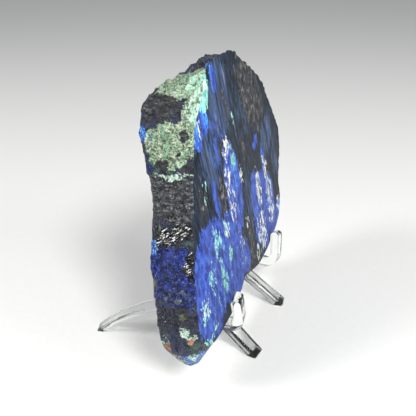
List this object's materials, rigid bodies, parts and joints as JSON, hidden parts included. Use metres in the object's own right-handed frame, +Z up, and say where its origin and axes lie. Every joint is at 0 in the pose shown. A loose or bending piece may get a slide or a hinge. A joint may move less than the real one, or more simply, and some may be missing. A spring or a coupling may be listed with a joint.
{
  "type": "azurite malachite slab on an easel",
  "caption": "Thick polished slab of blue azurite and green malachite with a rough natural rim, standing upright on a clear acrylic display easel.",
  "frame": {"origin": "on the table, under the middle of the whole object's box", "axes": "+Z up, polished face towards -Y, easel's rear legs towards +Y, +X to the right of someone facing the polished face"},
  "size_m": [0.1406, 0.0954, 0.1586],
  "materials": {
    "stone": "polished face and glossy rough rim, azurite blue with malachite green, charcoal and cream",
    "acrylic": "clear, polished"
  },
  "bodies": {
    "root": {"slab": "stone", "left_easel_plate": "acrylic", "right_easel_plate": "acrylic", "front_leg_bar": "acrylic", "upper_tie_bar": "acrylic"}
  },
  "joints": []
}
